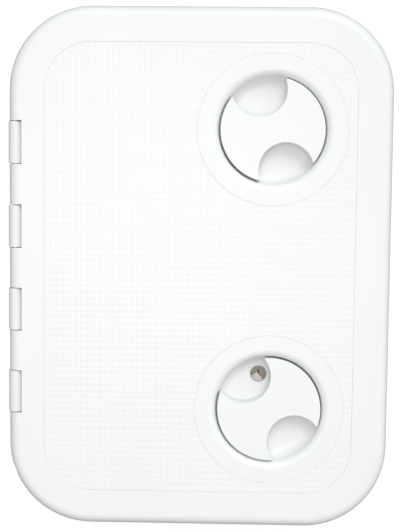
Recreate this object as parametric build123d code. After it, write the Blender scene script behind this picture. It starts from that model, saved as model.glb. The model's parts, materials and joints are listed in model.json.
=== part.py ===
"""Flush-deck access hatch: a moulded lid hinged on a mounting frame, with two flush turn latches.

The origin is the middle of the frame, on the underside of its flange, which is the face that lies
on the deck. +X points from the hinge to the latches, +Y along the lid and +Z out of the deck.
All sizes are in millimetres and all angles in degrees. Insets are measured inwards from the
outline of the lid.
"""

import os
from math import cos, radians, sin

from build123d import *

# Lid outline and section
lid_width = 275.0
lid_length = 375.0
lid_corner_r = 60.0
lid_rim_height = 12.4
lid_edge_r = 8.0
lid_wall = 3.0
rim_gap = 0.6  # between the rim of the lid and the flange of the frame

# Non-slip field on top of the lid, and the smooth rings round the latches
panel_inset = 26.0
panel_corner_r = 34.0
panel_recess = 0.8
latch_ring_r = 53.8

# Stiffening ribs under the lid
rib_thickness = 2.0
rib_depth = 3.6
rib_pitch_x = 34.0
rib_pitch_y = 44.0

# Frame
flange_thickness = 4.0
flange_inset = 0.5
flange_edge_r = 1.5
neck_inset = 32.0
neck_wall = 3.0
skirt_depth = 29.0
gutter_width = 6.0
gutter_floor = 2.5
gutter_depth = 14.0  # from the deck to the underside of the gutter
coaming_wall = 3.0
coaming_rise = 3.0  # above the flange
coaming_edge_r = 1.0
gusset_thickness = 2.5
gusset_pitch = 70.0

# Screw holes in the flange
screw_inset = 18.0
screw_hole_r = 2.25
screw_head_r = 4.5
side_screw_spacing = 104.0

# Gasket under the lid
gasket_width = 5.0
gasket_gap = 0.3  # between the gasket and the top of the coaming, before it is squeezed
gasket_rib = 2.0
gasket_rib_depth = 4.4

# Hinge
hinge_inset = 4.5
hinge_height = 11.0  # above the deck
knuckle_r = 4.9
knuckle_length = 30.0
knuckle_pitch = 60.0
knuckle_count = 4
knuckle_end_gap = 0.6
knuckle_side_gap = 0.45
knuckle_web = 9.0
pin_r = 2.0
pin_clearance = 0.08
pin_fit = 0.01  # between the pin and the lid, which holds it
pin_overhang = 20.0  # past the outer ends of the outer knuckles
pin_chamfer = 0.4

# Latch pockets, moulded in the lid
latch_inset_x = 86.0
latch_inset_y = 87.0
pocket_r = 38.5
pocket_depth = 12.5
pocket_rim_r = 5.2
pocket_floor_r = 7.2
pocket_wall = 2.5
boss_wall = 4.0
boss_end = -6.0

# Latch handles
handle_gap = 1.2
handle_drop = 0.2  # top of the handle below the lid
handle_floor_gap = 0.6
handle_edge_r = 0.6
handle_horn_r = 0.7
handle_wall = 2.6
handle_lip = 1.6
scallop_r = 19.7
scallop_offset = 30.3
upper_handle_angle = 109.0
lower_handle_angle = 128.0
hub_r = 12.0
collar_gap = 0.1
spindle_r = 7.0
spindle_clearance = 0.08
square_side = 9.5
square_clearance = 0.1
o_ring_wire_r = 0.8
o_ring_height = 0.5
o_ring_fit = 0.02

# Latch tongues and what holds them
washer_thickness = 0.9
washer_fit = 0.05
tongue_hub_r = 10.8
tongue_arm_thickness = 5.0
tongue_arm_width = 16.0
tongue_tip_inset = 37.0
tongue_edge_r = 1.5
tongue_gap = 0.5  # under the gutter
lug_width = 7.0
lug_reach = 17.5
lug_height = 4.5
lug_drop = 1.0  # below the top of the hub
lug_lead = 40.0  # the angle by which the lug leads the arm
stop_gap = 0.3
stop_width = 5.0
stop_clearance = 0.8
plate_washer_thickness = 1.2
plate_washer_r = 8.0
screw_r = 2.5
screw_thread_gap = 0.1
screw_length = 14.0
screw_top_r = 4.8
screw_top_height = 3.0
screw_slot_width = 1.2
screw_slot_depth = 1.4

# Key lock in the lower pocket
lock_x = -7.4
lock_y = 24.0
lock_mouth_r = 6.0
lock_mouth_chamfer = 0.5
lock_boss_wall = 5.2
barrel_r = 7.0
barrel_fit = 0.05
barrel_length = 9.0
barrel_foot_r = 12.6
barrel_foot_thickness = 2.4
plug_r = 4.6
plug_clearance = 0.08
plug_recess = 0.6
keyway_width = 1.3
keyway_length = 6.4
keyway_depth = 5.0
plug_tail = 5.0
cam_thickness = 2.0
cam_gap = 0.4
cam_length = 18.8
cam_width = 8.0
cam_hub_r = 5.5
cam_angle = 54.8
cam_screw_r = 1.5
cam_screw_top_r = 3.0
cam_screw_top_height = 1.6
foot_screw_r = 1.2
foot_screw_fit = 0.05
foot_screw_offset = 9.7
foot_screw_length = 7.0
foot_screw_top_r = 2.3
foot_screw_slot_width = 0.6
foot_screw_slot_depth = 0.6

# Heights that follow from the sizes above
rim_bottom = flange_thickness + rim_gap
lid_top = rim_bottom + lid_rim_height
lid_under = lid_top - panel_recess - lid_wall
pocket_floor = lid_top - pocket_depth
pocket_under = pocket_floor - pocket_wall
coaming_top = flange_thickness + coaming_rise
gutter_under = -gutter_depth
arm_top = gutter_under - tongue_gap
hub_bottom = arm_top - tongue_arm_thickness
hub_top = boss_end - washer_thickness - 2 * washer_fit
lug_top = hub_top - lug_drop
washer_bottom = hub_bottom - plate_washer_thickness

# Places that follow from the sizes above
hinge_x = -lid_width / 2 + hinge_inset
latch_x = lid_width / 2 - latch_inset_x
latch_y = lid_length / 2 - latch_inset_y
coaming_inset = neck_inset + neck_wall + gutter_width
opening_inset = coaming_inset + coaming_wall
gasket_inset = coaming_inset + (coaming_wall - gasket_width) / 2
hinge_block = hinge_inset + knuckle_r + knuckle_side_gap + lid_wall
tongue_reach = latch_inset_x - tongue_tip_inset
handle_r = pocket_r - handle_gap
handle_low = pocket_floor + handle_floor_gap
handle_heel_r = pocket_floor_r - (handle_gap + handle_floor_gap) / 2
knuckle_rows = [(row - (knuckle_count - 1) / 2) * knuckle_pitch for row in range(knuckle_count)]
overshoot = 1.0  # how far a cutter runs past the face that it cuts
EPS = 1e-3


def slab(inset, low, high):
    """The lid's outline, moved inwards by inset, between two heights."""
    outline = RectangleRounded(
        lid_width - 2 * inset, lid_length - 2 * inset, lid_corner_r - inset
    )
    return Pos(0, 0, low) * extrude(outline, high - low)


def band(outer_inset, inner_inset, low, high):
    """A closed band that follows the lid's outline."""
    return slab(outer_inset, low, high) - slab(inner_inset, low - overshoot, high + overshoot)


def disc(radius, low, high, x=0.0, y=0.0):
    """An upright cylinder between two heights."""
    return Pos(x, y, low) * extrude(Circle(radius), high - low)


def block(size_x, size_y, low, high, x=0.0, y=0.0):
    """An upright box, centred on x and y, between two heights."""
    return Pos(x, y, low) * extrude(Rectangle(size_x, size_y), high - low)


def along_hinge(profile, length, middle=0.0):
    """A profile drawn in X and Z about the hinge axis, extruded along Y."""
    plane = Plane((hinge_x, middle - length / 2, hinge_height), x_dir=(1, 0, 0), z_dir=(0, 1, 0))
    return extrude(plane * profile, length)


def top_edges(shape):
    return shape.faces().sort_by(Axis.Z)[-1].edges()


def bottom_edges(shape):
    return shape.faces().sort_by(Axis.Z)[0].edges()


def at_latch(shape, side):
    """Puts a shape that is drawn round a latch axis on the upper (1) or the lower (-1) latch."""
    return Pos(latch_x, side * latch_y, 0) * shape


# Frame


def screw_places():
    """Centres of the screw holes: four corners, four on the long sides, two on the ends."""
    corner = (lid_corner_r - screw_inset) * cos(radians(45))
    corner_x = lid_width / 2 - lid_corner_r + corner
    corner_y = lid_length / 2 - lid_corner_r + corner
    side_x = lid_width / 2 - screw_inset
    end_y = lid_length / 2 - screw_inset
    corners = [(i * corner_x, j * corner_y) for i in (-1, 1) for j in (-1, 1)]
    sides = [(i * side_x, j * side_screw_spacing / 2) for i in (-1, 1) for j in (-1, 1)]
    ends = [(0.0, j * end_y) for j in (-1, 1)]
    return corners + sides + ends


def screw_hole(x, y):
    """A countersunk hole through the flange."""
    sink = screw_head_r - screw_hole_r
    hole = disc(screw_hole_r, -overshoot, flange_thickness + overshoot, x, y)
    cone = Pos(x, y, flange_thickness - sink / 2) * Cone(screw_hole_r, screw_head_r, sink)
    return hole + cone


def knuckle(middle):
    """A hinge knuckle that stands on the flange, with its web."""
    web_height = hinge_height - flange_thickness + EPS
    profile = Circle(knuckle_r) + Pos(0, web_height / 2) * Rectangle(knuckle_web, web_height)
    profile -= Circle(pin_r + pin_clearance)
    return along_hinge(profile, knuckle_length, middle)


def gusset_places():
    """Where the webs stand under the gutter: on the hinge side and on the two ends."""
    reach = coaming_wall + gutter_width
    web_x = lid_width / 2 - neck_inset - neck_wall - reach / 2
    web_y = lid_length / 2 - neck_inset - neck_wall - reach / 2
    rows = [(-web_x, step * gusset_pitch, reach, gusset_thickness) for step in (-1, 0, 1)]
    ends = [
        (step * gusset_pitch / 2, side * web_y, gusset_thickness, reach)
        for step in (-1, 1)
        for side in (-1, 1)
    ]
    return rows + ends


def make_frame():
    flange = slab(flange_inset, 0, flange_thickness)
    flange = fillet(top_edges(flange), flange_edge_r)
    flange -= slab(neck_inset + neck_wall, -overshoot, flange_thickness + overshoot)
    neck = band(neck_inset, neck_inset + neck_wall, -skirt_depth, flange_thickness)
    floor = band(neck_inset + neck_wall - EPS, opening_inset, gutter_under, gutter_under + gutter_floor)
    coaming = slab(coaming_inset, gutter_under, coaming_top)
    coaming = fillet(top_edges(coaming), coaming_edge_r)
    coaming -= slab(opening_inset, gutter_under - overshoot, coaming_top + overshoot)
    frame = flange + neck + floor + coaming
    for x, y, size_x, size_y in gusset_places():
        depth = skirt_depth - gutter_depth
        frame += block(size_x, size_y, gutter_under - depth / 2, gutter_under + EPS, x, y)
    for middle in knuckle_rows:
        frame += knuckle(middle)
    for x, y in screw_places():
        frame -= screw_hole(x, y)
    return frame


# Lid


def pocket_hollow():
    """The dish that a latch handle turns in, open at the top of the lid."""
    rim_z = lid_top - pocket_rim_r
    turn_z = pocket_floor + pocket_floor_r
    rim_x = pocket_r + pocket_rim_r
    bend_x = pocket_r - pocket_floor_r
    half = cos(radians(45))
    rim_mid = (rim_x - pocket_rim_r * half, rim_z + pocket_rim_r * half)
    floor_mid = (bend_x + pocket_floor_r * half, turn_z - pocket_floor_r * half)
    with BuildPart() as dish:
        with BuildSketch(Plane.XZ):
            with BuildLine():
                Polyline((0, pocket_floor), (0, lid_top + overshoot), (rim_x, lid_top + overshoot))
                Line((rim_x, lid_top + overshoot), (rim_x, lid_top))
                ThreePointArc((rim_x, lid_top), rim_mid, (pocket_r, rim_z))
                Line((pocket_r, rim_z), (pocket_r, turn_z))
                ThreePointArc((pocket_r, turn_z), floor_mid, (bend_x, pocket_floor))
                Line((bend_x, pocket_floor), (0, pocket_floor))
            make_face()
        revolve(axis=Axis.Z)
    return dish.part


def pocket_cup():
    """The outside of the dish, which hangs under the lid."""
    turn_z = pocket_floor + pocket_floor_r
    bend_x = pocket_r - pocket_floor_r
    outer = pocket_floor_r + pocket_wall
    half = cos(radians(45))
    floor_mid = (bend_x + outer * half, turn_z - outer * half)
    with BuildPart() as cup:
        with BuildSketch(Plane.XZ):
            with BuildLine():
                Polyline((bend_x, pocket_under), (0, pocket_under), (0, lid_under + overshoot))
                Line((0, lid_under + overshoot), (bend_x + outer, lid_under + overshoot))
                Line((bend_x + outer, lid_under + overshoot), (bend_x + outer, turn_z))
                ThreePointArc((bend_x + outer, turn_z), floor_mid, (bend_x, pocket_under))
            make_face()
        revolve(axis=Axis.Z)
    return cup.part


def stop_blocks(side):
    """Two blocks under the pocket that the lug of the tongue runs against, half a turn apart."""
    inner = tongue_hub_r + stop_clearance
    radial = lug_reach - inner
    shift = lug_width / 2 + stop_gap + stop_width / 2
    low = lug_top - lug_height
    latched = side * -lug_lead
    rest = latched + 180.0
    made = []
    for angle, turn in ((rest, side * -1), (latched, side)):
        piece = block(radial, stop_width, low, pocket_under + EPS, inner + radial / 2, turn * shift)
        made.append(Rot(0, 0, angle) * piece)
    return made


def lock_boss():
    """The sleeve under the lower pocket that the lock barrel is pushed into from below."""
    return disc(barrel_r + lock_boss_wall, boss_low(), pocket_floor + pocket_wall, lock_x, lock_y)


def lid_ribs():
    """A grid of ribs inside the ring of the gasket."""
    inset = gasket_inset + gasket_width + gasket_rib
    field = slab(inset - EPS, lid_under - rib_depth, lid_under + EPS)
    span_x = lid_width - 2 * inset
    span_y = lid_length - 2 * inset
    columns = int(span_x / 2 / rib_pitch_x)
    rows = int(span_y / 2 / rib_pitch_y)
    grid = []
    for step in range(-columns, columns + 1):
        grid.append(Pos(step * rib_pitch_x, 0) * Rectangle(rib_thickness, span_y))
    for step in range(-rows, rows + 1):
        grid.append(Pos(0, step * rib_pitch_y) * Rectangle(span_x, rib_thickness))
    sketch = Sketch() + grid
    lattice = Pos(0, 0, lid_under - rib_depth) * extrude(sketch, rib_depth + EPS)
    return lattice & field


def lid_shell():
    """The lid's skin and rim, with the hinge side left solid for the pin."""
    shell = slab(0, rim_bottom, lid_top)
    shell = fillet(top_edges(shell), lid_edge_r)
    inner_width = lid_width - lid_wall - hinge_block
    outline = RectangleRounded(inner_width, lid_length - 2 * lid_wall, lid_corner_r - lid_wall)
    middle = (hinge_block - lid_wall) / 2
    hollow = Pos(middle, 0, rim_bottom - overshoot) * extrude(
        outline, lid_under - rim_bottom + overshoot
    )
    hollow = fillet(top_edges(hollow), lid_edge_r - lid_wall)
    return shell - hollow


def panel_recess_cutter():
    """The non-slip field, which stands a little lower than the border and the latch rings."""
    field = RectangleRounded(
        lid_width - 2 * panel_inset, lid_length - 2 * panel_inset, panel_corner_r
    )
    for side in (-1, 1):
        field -= Pos(latch_x, side * latch_y) * Circle(latch_ring_r)
    return Pos(0, 0, lid_top - panel_recess) * extrude(field, panel_recess + overshoot)


def hinge_relief():
    """Rounds the lower outer edge of the lid about the hinge axis, so that it clears the flange."""
    swing = hinge_height - rim_bottom
    reach = hinge_inset + overshoot
    drop = swing + overshoot
    corner = Pos(-reach / 2, drop / 2) * Rectangle(reach, drop)
    return along_hinge(corner - Circle(swing), lid_length)


def knuckle_notch(middle):
    """The space in the edge of the lid that a knuckle of the frame stands in."""
    width = hinge_inset + knuckle_r + knuckle_side_gap + overshoot
    length = knuckle_length + 2 * knuckle_end_gap
    centre = -lid_width / 2 - overshoot + width / 2
    return block(width, length, rim_bottom - overshoot, lid_top + overshoot, centre, middle)


def pin_span():
    """Half the length of the hinge pin."""
    return knuckle_rows[-1] + knuckle_length / 2 + pin_overhang


def make_lid():
    lid = lid_shell() - panel_recess_cutter()
    lid += lid_ribs()
    groove_top = lid_under + EPS
    low = lid_under - gasket_rib_depth
    outer_rib = gasket_inset - gasket_rib
    inner_rib = gasket_inset + gasket_width
    lid += band(outer_rib, gasket_inset, low, groove_top)
    lid += band(inner_rib, inner_rib + gasket_rib, low, groove_top)
    for side in (-1, 1):
        lid += at_latch(pocket_cup(), side)
    lid -= band(gasket_inset, inner_rib, low - overshoot, lid_under)
    for side in (-1, 1):
        boss = disc(spindle_r + boss_wall, boss_end, pocket_under + EPS)
        lid += at_latch(boss, side)
        for piece in stop_blocks(side):
            lid += at_latch(piece, side)
    lid += at_latch(lock_boss(), -1)
    for side in (-1, 1):
        bore = disc(spindle_r + spindle_clearance, boss_end - overshoot, pocket_floor + overshoot)
        lid -= at_latch(pocket_hollow() + bore, side)
    lid -= at_latch(lock_hole(), -1)
    for hand in (-1, 1):
        lid -= at_latch(foot_screw_hole(hand), -1)
    lid -= hinge_relief()
    for middle in knuckle_rows:
        lid -= knuckle_notch(middle)
    end = lid_length / 2
    lid -= along_hinge(Circle(pin_r + pin_fit), end + pin_span(), (pin_span() - end) / 2)
    return lid


def make_gasket():
    """A D-section seal in the groove of the lid, round side down on the coaming."""
    low = coaming_top + gasket_gap
    seal = slab(gasket_inset, low, lid_under)
    seal = fillet(bottom_edges(seal), gasket_width / 2 - EPS * 10)
    hole = slab(gasket_inset + gasket_width, low - overshoot, lid_under + overshoot)
    ring = seal - hole
    inner_low = ring.edges().filter_by(lambda e: abs(e.center().Z - low) < EPS)
    return fillet(inner_low, gasket_width / 2 - EPS * 10)


def make_hinge_pin():
    pin = along_hinge(Circle(pin_r), 2 * pin_span())
    ends = pin.edges().filter_by(GeomType.CIRCLE)
    return chamfer(ends, pin_chamfer)


# Latches


def round_grip():
    """The handle before its scallops are cut: a plate with a rounded heel that fits the bowl."""
    plate = disc(handle_r, handle_low, lid_top - handle_drop)
    plate = fillet(bottom_edges(plate), handle_heel_r)
    return fillet(top_edges(plate), handle_edge_r)


def grip_cavity():
    """The hollow under the handle, which leaves an even wall all round."""
    heel_inner = handle_heel_r - handle_wall
    cavity = disc(handle_r - handle_wall, handle_low + handle_wall, lid_top - handle_drop - handle_wall)
    cavity = fillet(bottom_edges(cavity), heel_inner)
    mouth = handle_r - handle_heel_r - handle_lip
    return cavity + disc(mouth, handle_low - overshoot, handle_low + handle_wall + EPS)


def handle_outline(shrink):
    """A round plate with two finger scallops, made smaller all round by shrink."""
    outline = Circle(handle_r - shrink)
    for side in (-1, 1):
        outline -= Pos(side * scallop_offset, 0) * Circle(scallop_r + shrink)
    return outline


def make_handle(side, angle):
    """The handle with its spindle. Its scallops lie along the given angle."""
    low = handle_low
    high = lid_top - handle_drop
    outline = handle_outline(0)
    outline = fillet(outline.vertices(), handle_horn_r)
    grip = Pos(0, 0, low) * extrude(outline, high - low)
    grip = fillet(top_edges(grip), handle_edge_r)
    grip = grip & round_grip()
    hollow = handle_outline(handle_wall) - Circle(hub_r)
    hollow = Pos(0, 0, low - overshoot) * extrude(hollow, high - low + overshoot)
    grip -= hollow & grip_cavity()
    grip = Rot(0, 0, angle) * grip
    collar = disc(hub_r - handle_wall, pocket_floor + collar_gap, low + EPS)
    spindle = disc(spindle_r, boss_end, low + EPS)
    drive = block(square_side, square_side, hub_bottom + washer_fit, boss_end + EPS)
    handle = grip + collar + spindle + drive
    groove = disc(spindle_r + overshoot, o_ring_low(), o_ring_low() + 2 * o_ring_room())
    groove -= disc(groove_r(), o_ring_low() - overshoot, o_ring_low() + 2 * o_ring_room() + overshoot)
    handle -= groove
    tapped = disc(screw_r, washer_bottom, washer_bottom + screw_length + overshoot)
    return at_latch(handle - tapped, side)


def groove_r():
    """Radius of the bottom of the groove for the O-ring."""
    return spindle_r + spindle_clearance - 2 * (o_ring_wire_r + o_ring_fit)


def o_ring_room():
    return o_ring_wire_r + o_ring_fit


def o_ring_low():
    return o_ring_height - o_ring_room()


def make_o_ring(side):
    centre_r = spindle_r + spindle_clearance - o_ring_room()
    return at_latch(Pos(0, 0, o_ring_height) * Torus(centre_r, o_ring_wire_r), side)


def make_slip_washer(side):
    """A plastic washer between the end of the boss and the tongue."""
    high = boss_end - washer_fit
    outer = disc(spindle_r + boss_wall, high - washer_thickness, high)
    corner = square_side * cos(radians(45)) + square_clearance
    return at_latch(outer - disc(corner, high - washer_thickness - overshoot, high + overshoot), side)


def make_tongue(side):
    """The tongue points away from the rim at rest, and half a turn puts it under the gutter."""
    hub = disc(tongue_hub_r, hub_bottom, hub_top)
    tip = tongue_reach - tongue_arm_width / 2
    blade = Pos(tip / 2, 0) * Rectangle(tip, tongue_arm_width) + Pos(tip, 0) * Circle(
        tongue_arm_width / 2
    )
    arm = Pos(0, 0, hub_bottom) * extrude(blade, tongue_arm_thickness)
    arm = fillet(top_edges(arm), tongue_edge_r)
    lug = block(lug_reach, lug_width, lug_top - lug_height, lug_top, lug_reach / 2, 0)
    lug = Rot(0, 0, -side * lug_lead) * lug
    hole_side = square_side + 2 * square_clearance
    hole = block(hole_side, hole_side, hub_bottom - overshoot, hub_top + overshoot)
    tongue = Rot(0, 0, 180) * (hub + arm + lug)
    return at_latch(tongue - hole, side)


def make_plate_washer(side):
    washer = disc(plate_washer_r, washer_bottom, hub_bottom)
    return at_latch(washer - disc(screw_r, washer_bottom - overshoot, hub_bottom + overshoot), side)


def make_latch_screw(side):
    """A pan-head screw with a cross recess, driven up into the spindle."""
    top = disc(screw_top_r, washer_bottom - screw_top_height, washer_bottom)
    top = fillet(bottom_edges(top), screw_top_height / 2)
    shank = disc(screw_r - screw_thread_gap, washer_bottom - EPS, washer_bottom + screw_length)
    head_low = washer_bottom - screw_top_height
    for turn in (0, 90):
        slot = block(
            screw_top_r, screw_slot_width, head_low - overshoot, head_low + screw_slot_depth
        )
        top -= Rot(0, 0, turn) * slot
    return at_latch(top + shank, side)


# Key lock


def barrel_top():
    return pocket_under


def barrel_bottom():
    return barrel_top() - barrel_length


def boss_low():
    return barrel_bottom() + barrel_foot_thickness


def lock_hole():
    """The keyhole in the floor of the pocket, and the wider bore below it for the barrel."""
    mouth = disc(lock_mouth_r, barrel_top() - overshoot, pocket_floor + pocket_depth, lock_x, lock_y)
    bore = disc(barrel_r + barrel_fit, boss_low() - overshoot, barrel_top(), lock_x, lock_y)
    chamfer_cone = Pos(lock_x, lock_y, pocket_floor - lock_mouth_chamfer / 2) * Cone(
        lock_mouth_r, lock_mouth_r + lock_mouth_chamfer, lock_mouth_chamfer
    )
    return mouth + bore + chamfer_cone


def foot_screw_x(hand):
    return lock_x + hand * foot_screw_offset


def foot_screw_hole(hand):
    """A countersunk hole in the foot of the barrel, and the blind hole above it in the sleeve."""
    x = foot_screw_x(hand)
    hole = disc(
        foot_screw_r + foot_screw_fit, barrel_bottom() - EPS, barrel_bottom() + foot_screw_length,
        x, lock_y,
    )
    sink = foot_screw_top_r - foot_screw_r
    cone = Pos(x, lock_y, barrel_bottom() + sink / 2) * Cone(
        foot_screw_top_r + foot_screw_fit, foot_screw_r + foot_screw_fit, sink
    )
    return hole + cone


def make_foot_screw(hand):
    """A countersunk screw that holds the foot of the barrel against the sleeve."""
    x = foot_screw_x(hand)
    sink = foot_screw_top_r - foot_screw_r
    cone = Pos(x, lock_y, barrel_bottom() + sink / 2) * Cone(foot_screw_top_r, foot_screw_r, sink)
    high = barrel_bottom() + foot_screw_length - foot_screw_fit
    shank = disc(foot_screw_r, barrel_bottom() + sink - EPS, high, x, lock_y)
    slot = block(
        foot_screw_slot_width, 2 * foot_screw_top_r + overshoot, barrel_bottom() - overshoot,
        barrel_bottom() + foot_screw_slot_depth, x, lock_y,
    )
    return at_latch(cone + shank - slot, -1)


def make_barrel():
    body = disc(barrel_r, barrel_bottom(), barrel_top(), lock_x, lock_y)
    foot = disc(barrel_foot_r, barrel_bottom(), boss_low(), lock_x, lock_y)
    bore = disc(
        plug_r + plug_clearance, barrel_bottom() - overshoot, barrel_top() + overshoot, lock_x, lock_y
    )
    barrel = body + foot - bore
    for hand in (-1, 1):
        barrel -= foot_screw_hole(hand)
    return at_latch(barrel, -1)


def make_plug():
    top = barrel_top() - plug_recess
    body = disc(plug_r, barrel_bottom(), top, lock_x, lock_y)
    tail = block(plug_tail, plug_tail, cam_low(), barrel_bottom() + EPS, lock_x, lock_y)
    keyway = block(keyway_width, keyway_length, top - keyway_depth, top + overshoot, lock_x, lock_y)
    tapped = disc(cam_screw_r, cam_low() - overshoot, barrel_bottom(), lock_x, lock_y)
    return at_latch(body + tail - keyway - tapped, -1)


def cam_high():
    return barrel_bottom() - cam_gap


def cam_low():
    return cam_high() - cam_thickness


def make_cam():
    """The lock's cam, which swings in behind the lug of the lower tongue."""
    blade = Circle(cam_hub_r) + Pos(cam_length / 2, 0) * Rectangle(cam_length, cam_width)
    blade -= Rot(0, 0, -cam_angle) * Rectangle(plug_tail, plug_tail)
    plate = Pos(0, 0, cam_low()) * extrude(blade, cam_thickness)
    return at_latch(Pos(lock_x, lock_y, 0) * Rot(0, 0, cam_angle) * plate, -1)


def make_cam_screw():
    low = cam_low() - cam_screw_top_height
    top = disc(cam_screw_top_r, low, cam_low(), lock_x, lock_y)
    shank = disc(cam_screw_r, cam_low() - EPS, barrel_bottom(), lock_x, lock_y)
    slot = block(
        2 * cam_screw_top_r, screw_slot_width, low - overshoot, low + cam_screw_top_height / 2,
        lock_x, lock_y,
    )
    return at_latch(top + shank - slot, -1)


def save(name, shape):
    export_step(shape, f"parts/{name}.step")


def main():
    os.makedirs("parts", exist_ok=True)
    save("frame", make_frame())
    save("lid_panel", make_lid())
    save("lid_gasket", make_gasket())
    save("hinge_pin", make_hinge_pin())
    for name, side, angle in (("upper", 1, upper_handle_angle), ("lower", -1, lower_handle_angle)):
        save(f"{name}_handle", make_handle(side, angle))
        save(f"{name}_o_ring", make_o_ring(side))
        save(f"{name}_slip_washer", make_slip_washer(side))
        save(f"{name}_tongue", make_tongue(side))
        save(f"{name}_plate_washer", make_plate_washer(side))
        save(f"{name}_latch_screw", make_latch_screw(side))
    save("lock_barrel", make_barrel())
    save("lock_plug", make_plug())
    save("lock_cam", make_cam())
    save("lock_cam_screw", make_cam_screw())
    save("left_lock_screw", make_foot_screw(-1))
    save("right_lock_screw", make_foot_screw(1))


main()
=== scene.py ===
"""A white moulded access hatch, seen from almost straight above, with its lid closed."""

import json
import math

import bpy
from mathutils import Euler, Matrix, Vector


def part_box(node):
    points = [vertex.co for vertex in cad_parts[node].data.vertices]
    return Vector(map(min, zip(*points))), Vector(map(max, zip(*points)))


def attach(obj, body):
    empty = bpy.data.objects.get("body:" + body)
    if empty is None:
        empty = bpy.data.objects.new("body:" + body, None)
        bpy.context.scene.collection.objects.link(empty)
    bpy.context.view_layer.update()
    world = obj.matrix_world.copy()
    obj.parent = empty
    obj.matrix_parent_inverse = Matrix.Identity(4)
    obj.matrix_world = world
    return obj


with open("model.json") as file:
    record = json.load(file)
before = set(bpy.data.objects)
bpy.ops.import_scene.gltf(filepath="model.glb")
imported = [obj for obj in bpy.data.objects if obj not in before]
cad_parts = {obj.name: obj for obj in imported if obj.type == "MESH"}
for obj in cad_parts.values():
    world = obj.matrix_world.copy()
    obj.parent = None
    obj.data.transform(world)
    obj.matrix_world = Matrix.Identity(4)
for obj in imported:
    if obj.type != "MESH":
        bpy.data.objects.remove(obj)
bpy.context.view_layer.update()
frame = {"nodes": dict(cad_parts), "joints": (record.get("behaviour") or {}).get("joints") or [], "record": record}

MM = 0.001

# Lid, read from the frame
lid_low, lid_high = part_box("lid_panel")
lid_width = lid_high.x - lid_low.x
lid_length = lid_high.y - lid_low.y
lid_top = lid_high.z
latch_places = {
    joint["child"]: Vector(joint["pos_m"])
    for joint in frame["joints"]
    if joint["child"] in ("upper_latch", "lower_latch")
}

# Lock
lock_place = Vector(next(joint["pos_m"] for joint in frame["joints"] if joint["child"] == "lock"))
shutter_radius = 5.7 * MM
shutter_corner = (-0.95 * MM, 1.2 * MM)
shutter_edges = (217.0, 310.0)  # degrees, as seen from its corner
shutter_thickness = 0.35 * MM
shutter_gap = 0.03 * MM
shutter_bevel = 0.1 * MM
shutter_sides = 96

# Non-slip field
field_inset = 26.0 * MM
field_corner = 34.0 * MM
field_recess = 0.8 * MM
field_gap = 0.1 * MM
field_sink = 0.3 * MM
ring_radius = 53.8 * MM
square_pitch = 4.5 * MM
square_height = 0.11 * MM
square_drop = 0.12 * MM  # top of the squares below the border
groove_floor = 0.3 * MM
square_slope = 1.1 * MM
ring_sides = 96
corner_sides = 24
cutter_depth = 10.0 * MM
cutter_height = 50.0 * MM

# Camera, placed and turned as the photograph was taken
camera_place = (17.3 * MM, 54.2 * MM, 742.8 * MM)
camera_turn = (-4.02, 1.35, 0.63)
camera_lens = 68.75

# Stage
floor_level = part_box("frame")[0].z
floor_span = 6.0
floor_colour = (0.5, 0.5, 0.5)
floor_bounce = (0.18, 0.18, 0.18)
floor_lift = 0.7


def deselect():
    for thing in bpy.context.selected_objects:
        thing.select_set(False)


def work_on(thing):
    """Makes one object the active and only selected one."""
    deselect()
    thing.select_set(True)
    bpy.context.view_layer.objects.active = thing


def apply_place(thing):
    work_on(thing)
    bpy.ops.object.transform_apply(location=True, rotation=True, scale=True)


# Materials


def new_material(name):
    material = bpy.data.materials.new(name)
    material.use_nodes = True
    tree = material.node_tree
    return material, tree, tree.nodes["Principled BSDF"]


def object_noise(tree, scale, detail=3.0, roughness=0.55):
    """A noise over the piece's own coordinates. Scale is in waves per metre."""
    place = tree.nodes.new("ShaderNodeTexCoord")
    noise = tree.nodes.new("ShaderNodeTexNoise")
    noise.inputs["Scale"].default_value = scale
    noise.inputs["Detail"].default_value = detail
    noise.inputs["Roughness"].default_value = roughness
    tree.links.new(place.outputs["Object"], noise.inputs["Vector"])
    return noise


def spread(tree, source, low, high):
    """Maps a noise from its usual middle range to low and high."""
    span = tree.nodes.new("ShaderNodeMapRange")
    span.inputs["From Min"].default_value = 0.3
    span.inputs["From Max"].default_value = 0.7
    span.inputs["To Min"].default_value = low
    span.inputs["To Max"].default_value = high
    tree.links.new(source, span.inputs["Value"])
    return span.outputs["Result"]


def two_tones(tree, source, first, second):
    mix = tree.nodes.new("ShaderNodeMix")
    mix.data_type = "RGBA"
    mix.inputs["A"].default_value = (*first, 1.0)
    mix.inputs["B"].default_value = (*second, 1.0)
    tree.links.new(source, mix.inputs["Factor"])
    return mix.outputs["Result"]


def bump(tree, shader, source, strength, distance):
    node = tree.nodes.new("ShaderNodeBump")
    node.inputs["Strength"].default_value = strength
    node.inputs["Distance"].default_value = distance
    tree.links.new(source, node.inputs["Height"])
    tree.links.new(node.outputs["Normal"], shader.inputs["Normal"])


def moulded_plastic(name, colour, tint, rough_low, rough_high, grain_scale, grain_depth):
    """Injection-moulded plastic: a slow change of tone, a patchy gloss and a fine grain."""
    material, tree, shader = new_material(name)
    tone = object_noise(tree, 14.0, 2.0)
    tree.links.new(
        two_tones(tree, spread(tree, tone.outputs["Fac"], 0.0, 1.0), colour, tint),
        shader.inputs["Base Color"],
    )
    gloss = object_noise(tree, 60.0, 4.0)
    tree.links.new(
        spread(tree, gloss.outputs["Fac"], rough_low, rough_high), shader.inputs["Roughness"]
    )
    grain = object_noise(tree, grain_scale, 2.0)
    bump(tree, shader, grain.outputs["Fac"], 0.3, grain_depth)
    shader.inputs["IOR"].default_value = 1.49
    return material


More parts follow.
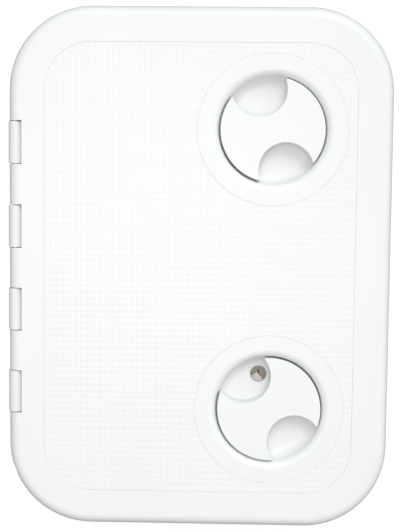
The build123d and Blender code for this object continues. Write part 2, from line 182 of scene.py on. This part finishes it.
def paint_recess_shade(material, colour, unshaded_above, fully_shaded_below):
    """Paints shade into the plastic's colour below the lid's face: the tone darkens with depth into the pockets,
    standing in for the shade that falls there.
    """
    tree = material.node_tree
    shader = tree.nodes["Principled BSDF"]
    unshaded_tone = shader.inputs["Base Color"].links[0].from_socket
    place = tree.nodes.new("ShaderNodeTexCoord")
    split = tree.nodes.new("ShaderNodeSeparateXYZ")
    # painted shade: the colour turns darker the deeper the surface lies below the lid's face
    depth = tree.nodes.new("ShaderNodeMapRange")
    depth.inputs["From Min"].default_value = unshaded_above
    depth.inputs["From Max"].default_value = fully_shaded_below
    mix = tree.nodes.new("ShaderNodeMix")
    mix.data_type = "RGBA"
    mix.inputs["B"].default_value = (*colour, 1.0)
    tree.links.new(place.outputs["Object"], split.inputs["Vector"])
    tree.links.new(split.outputs["Z"], depth.inputs["Value"])
    tree.links.new(depth.outputs["Result"], mix.inputs["Factor"])
    tree.links.new(unshaded_tone, mix.inputs["A"])
    tree.links.new(mix.outputs["Result"], shader.inputs["Base Color"])


def drawn_steel(name, colour, axis):
    """Stainless bar with fine drawing lines along one axis."""
    material, tree, shader = new_material(name)
    place = tree.nodes.new("ShaderNodeTexCoord")
    stretch = tree.nodes.new("ShaderNodeMapping")
    stretch.inputs["Scale"].default_value = [0.02 if i == axis else 1.0 for i in range(3)]
    lines = tree.nodes.new("ShaderNodeTexNoise")
    lines.inputs["Scale"].default_value = 4000.0
    tree.links.new(place.outputs["Object"], stretch.inputs["Vector"])
    tree.links.new(stretch.outputs["Vector"], lines.inputs["Vector"])
    shader.inputs["Base Color"].default_value = (*colour, 1.0)
    shader.inputs["Metallic"].default_value = 1.0
    tree.links.new(spread(tree, lines.outputs["Fac"], 0.2, 0.42), shader.inputs["Roughness"])
    bump(tree, shader, lines.outputs["Fac"], 0.15, 0.00002)
    return material


def plated_metal(name, colour, tint):
    """Nickel plate over a die casting: bright, with a faint ripple and dull spots."""
    material, tree, shader = new_material(name)
    tone = object_noise(tree, 400.0, 4.0)
    tree.links.new(
        two_tones(tree, spread(tree, tone.outputs["Fac"], 0.0, 1.0), colour, tint),
        shader.inputs["Base Color"],
    )
    shader.inputs["Metallic"].default_value = 1.0
    tree.links.new(spread(tree, tone.outputs["Fac"], 0.25, 0.45), shader.inputs["Roughness"])
    ripple = object_noise(tree, 900.0, 2.0)
    bump(tree, shader, ripple.outputs["Fac"], 0.2, 0.00003)
    return material


def seal_rubber(name):
    """Extruded black rubber with a dusty bloom."""
    material, tree, shader = new_material(name)
    bloom = object_noise(tree, 120.0, 5.0)
    tree.links.new(
        two_tones(
            tree, spread(tree, bloom.outputs["Fac"], 0.0, 1.0), (0.012, 0.012, 0.012), (0.03, 0.03, 0.032)
        ),
        shader.inputs["Base Color"],
    )
    tree.links.new(spread(tree, bloom.outputs["Fac"], 0.55, 0.75), shader.inputs["Roughness"])
    grain = object_noise(tree, 2500.0, 3.0)
    bump(tree, shader, grain.outputs["Fac"], 0.35, 0.00006)
    return material


def make_materials():
    return {
        "lid_plastic": moulded_plastic(
            "lid_plastic", (0.828, 0.848, 0.853), (0.842, 0.86, 0.865), 0.34, 0.42, 1800.0, 0.00003
        ),
        "frame_plastic": moulded_plastic(
            "frame_plastic", (0.80, 0.787, 0.757), (0.815, 0.805, 0.78), 0.32, 0.42, 1800.0, 0.00003
        ),
        "nylon": moulded_plastic(
            "nylon", (0.018, 0.018, 0.02), (0.03, 0.03, 0.032), 0.40, 0.55, 1500.0, 0.00005
        ),
        "seal_rubber": seal_rubber("seal_rubber"),
        "stainless": drawn_steel("stainless", (0.60, 0.60, 0.61), 1),
        "lock_metal": plated_metal("lock_metal", (0.22, 0.205, 0.185), (0.27, 0.255, 0.23)),
        "shutter_metal": plated_metal("shutter_metal", (0.50, 0.455, 0.42), (0.57, 0.525, 0.49)),
    }


def shade_lid_recesses(material):
    # painted shade in the pockets: none above 2 mm below the lid's face, full from 11 mm below it
    paint_recess_shade(material, (0.79, 0.797, 0.795), lid_top - 2.0 * MM, lid_top - 11.0 * MM)


def dress_nodes(materials):
    """Gives each solid of the frame the finish that the record names for it."""
    slots = {entry["node"]: entry["material_slot"] for entry in frame["record"]["subparts"]}
    for name, node in frame["nodes"].items():
        material = materials[slots[name]]
        if not node.material_slots:
            node.data.materials.append(material)
        for holder in node.material_slots:
            holder.material = material


# Non-slip field


def field_cutter():
    """A thick plate with the field's outline, less the smooth rings round the latches."""
    deselect()
    bpy.ops.mesh.primitive_plane_add(size=1.0, location=(0, 0, -cutter_depth))
    plate = bpy.context.object
    plate.scale = (
        lid_width - 2 * (field_inset + field_gap),
        lid_length - 2 * (field_inset + field_gap),
        1.0,
    )
    apply_place(plate)
    bpy.ops.object.mode_set(mode="EDIT")
    bpy.ops.mesh.select_all(action="SELECT")
    bpy.ops.mesh.bevel(offset=field_corner - field_gap, segments=corner_sides, affect="VERTICES")
    bpy.ops.mesh.select_all(action="SELECT")
    bpy.ops.mesh.extrude_region_move(TRANSFORM_OT_translate={"value": (0, 0, cutter_height)})
    bpy.ops.mesh.select_all(action="SELECT")
    bpy.ops.mesh.normals_make_consistent(inside=False)
    bpy.ops.object.mode_set(mode="OBJECT")
    for place in latch_places.values():
        deselect()
        bpy.ops.mesh.primitive_cylinder_add(
            vertices=ring_sides,
            radius=ring_radius + field_gap,
            depth=3 * cutter_height,
            location=(place.x, place.y, 0.0),
        )
        cut(plate, bpy.context.object, "DIFFERENCE")
    return plate


def cut(thing, tool, operation):
    """Applies a boolean to a piece and removes the tool."""
    boolean = thing.modifiers.new("cut", "BOOLEAN")
    boolean.operation = operation
    boolean.solver = "EXACT"
    boolean.object = tool
    work_on(thing)
    bpy.ops.object.modifier_apply(modifier=boolean.name)
    bpy.data.objects.remove(tool)


def non_slip_field(materials):
    """Raised square studs with sloping sides, cut off at the border and at the latch rings."""
    columns = math.ceil((lid_width - 2 * field_inset) / square_pitch / 2) * 2
    rows = math.ceil((lid_length - 2 * field_inset) / square_pitch / 2) * 2
    top = lid_top - square_drop
    deselect()
    bpy.ops.mesh.primitive_grid_add(
        x_subdivisions=columns, y_subdivisions=rows, size=1.0, location=(0, 0, top - square_height)
    )
    field = bpy.context.object
    field.name = "non_slip_field"
    field.scale = (columns * square_pitch, rows * square_pitch, 1.0)
    apply_place(field)
    bpy.ops.object.mode_set(mode="EDIT")
    bpy.ops.mesh.select_all(action="SELECT")
    bpy.ops.mesh.inset(use_individual=True, use_even_offset=True, thickness=groove_floor / 2)
    bpy.ops.mesh.inset(use_individual=True, use_even_offset=True, thickness=square_slope)
    bpy.ops.transform.translate(value=(0, 0, square_height))
    bpy.ops.mesh.select_all(action="SELECT")
    bpy.ops.mesh.select_mode(type="EDGE")
    bpy.ops.mesh.select_all(action="DESELECT")
    bpy.ops.mesh.select_non_manifold(extend=False)
    bpy.ops.mesh.extrude_region_move(
        TRANSFORM_OT_translate={"value": (0, 0, square_height - field_recess - field_sink + square_drop)}
    )
    bpy.ops.mesh.edge_face_add()
    bpy.ops.mesh.select_mode(type="FACE")
    bpy.ops.mesh.select_all(action="SELECT")
    bpy.ops.mesh.normals_make_consistent(inside=False)
    bpy.ops.object.mode_set(mode="OBJECT")
    cut(field, field_cutter(), "INTERSECT")
    field.data.materials.clear()
    field.data.materials.append(materials["lid_plastic"])
    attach(field, "lid")
    return field


# Lock shutter


def keyway_shutter(materials):
    """A pale leaf on the face of the lock's plug, which keeps dirt out of the keyway."""
    low = max(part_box("lock_barrel")[1].z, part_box("lock_plug")[1].z) + shutter_gap
    deselect()
    bpy.ops.mesh.primitive_circle_add(
        vertices=shutter_sides,
        radius=shutter_radius,
        fill_type="NGON",
        location=(lock_place.x, lock_place.y, low),
    )
    leaf = bpy.context.object
    leaf.name = "keyway_shutter"
    apply_place(leaf)
    corner = (lock_place.x + shutter_corner[0], lock_place.y + shutter_corner[1], low)
    bpy.ops.object.mode_set(mode="EDIT")
    for turn, last in zip(shutter_edges, (False, True)):
        angle = math.radians(turn)
        bpy.ops.mesh.select_all(action="SELECT")
        bpy.ops.mesh.bisect(
            plane_co=corner,
            plane_no=(-math.sin(angle), math.cos(angle), 0.0),
            clear_inner=not last,
            clear_outer=last,
            threshold=0.001 * MM,
        )
    bpy.ops.mesh.select_all(action="SELECT")
    bpy.ops.mesh.extrude_region_move(TRANSFORM_OT_translate={"value": (0, 0, shutter_thickness)})
    bpy.ops.mesh.bevel(offset=shutter_bevel, segments=3, affect="EDGES")
    bpy.ops.mesh.select_all(action="SELECT")
    bpy.ops.mesh.normals_make_consistent(inside=False)
    bpy.ops.object.mode_set(mode="OBJECT")
    leaf.data.materials.append(materials["shutter_metal"])
    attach(leaf, "lock")
    return leaf


# Stage, light and camera


def white_floor():
    """A floor that the camera sees as white with soft shadows, and that throws little light back."""
    material, tree, shader = new_material("floor")
    shader.inputs["Roughness"].default_value = 0.9
    shader.inputs["Emission Color"].default_value = (1.0, 1.0, 1.0, 1.0)
    path = tree.nodes.new("ShaderNodeLightPath")
    tree.links.new(
        two_tones(tree, path.outputs["Is Camera Ray"], floor_bounce, floor_colour),
        shader.inputs["Base Color"],
    )
    lift = tree.nodes.new("ShaderNodeMath")
    lift.operation = "MULTIPLY"
    lift.inputs[1].default_value = floor_lift
    tree.links.new(path.outputs["Is Camera Ray"], lift.inputs[0])
    tree.links.new(lift.outputs["Value"], shader.inputs["Emission Strength"])
    deselect()
    bpy.ops.mesh.primitive_plane_add(size=floor_span, location=(0, 0, floor_level))
    floor = bpy.context.object
    floor.name = "floor"
    floor.data.materials.append(material)


def soft_sun(name, place, angle, strength, colour):
    """A wide, far, even light that shines from a place towards the middle of the hatch."""
    deselect()
    bpy.ops.object.light_add(type="SUN", location=place)
    lamp = bpy.context.object
    lamp.name = name
    lamp.data.angle = math.radians(angle)
    lamp.data.energy = strength
    lamp.data.color = colour
    lamp.rotation_euler = (-Vector(place)).to_track_quat("-Z", "Y").to_euler()


def studio_sky(horizon, overhead, colour):
    """A wide soft box overhead that fades to a dim horizon."""
    world = bpy.data.worlds.new("studio")
    bpy.context.scene.world = world
    world.use_nodes = True
    tree = world.node_tree
    background = tree.nodes["Background"]
    background.inputs["Color"].default_value = (*colour, 1.0)
    way = tree.nodes.new("ShaderNodeTexCoord")
    split = tree.nodes.new("ShaderNodeSeparateXYZ")
    upward = tree.nodes.new("ShaderNodeMath")
    upward.operation = "MAXIMUM"
    upward.inputs[1].default_value = 0.0
    level = tree.nodes.new("ShaderNodeMath")
    level.operation = "MULTIPLY_ADD"
    level.inputs[1].default_value = overhead - horizon
    level.inputs[2].default_value = horizon
    tree.links.new(way.outputs["Generated"], split.inputs["Vector"])
    tree.links.new(split.outputs["Z"], upward.inputs[0])
    tree.links.new(upward.outputs["Value"], level.inputs[0])
    tree.links.new(level.outputs["Value"], background.inputs["Strength"])


def top_lamp(name, place, size, power, colour):
    """A round soft lamp that hangs over the hatch and shines down on it."""
    deselect()
    bpy.ops.object.light_add(type="AREA", location=place)
    lamp = bpy.context.object
    lamp.name = name
    lamp.data.shape = "DISK"
    lamp.data.size = size
    lamp.data.energy = power
    lamp.data.color = colour
    lamp.rotation_euler = (-Vector(place)).to_track_quat("-Z", "Y").to_euler()


def light_the_scene():
    soft_sun("key_light", (0.38, 1.38, 1.5), 34.0, 1.25, (0.96, 1.02, 1.06))
    soft_sun("side_light", (1.6, 0.2, 0.8), 50.0, 0.35, (1.0, 1.0, 1.0))
    top_lamp("top_light", (-0.05, 0.05, 0.62), 0.46, 0.87, (0.985, 1.0, 1.01))
    studio_sky(0.32, 0.725, (1.0, 0.96, 0.925))


def place_camera():
    data = bpy.data.cameras.new("camera")
    camera = bpy.data.objects.new("camera", data)
    bpy.context.scene.collection.objects.link(camera)
    data.sensor_width = 36.0
    data.lens = camera_lens
    data.clip_start = 0.01
    data.clip_end = 50.0
    camera.location = camera_place
    camera.rotation_euler = Euler([math.radians(turn) for turn in camera_turn], "XYZ")
    bpy.context.scene.camera = camera


def main():
    materials = make_materials()
    shade_lid_recesses(materials["lid_plastic"])
    dress_nodes(materials)
    non_slip_field(materials)
    keyway_shutter(materials)
    white_floor()
    light_the_scene()
    place_camera()
    bpy.context.scene.view_settings.view_transform = "Standard"


main()
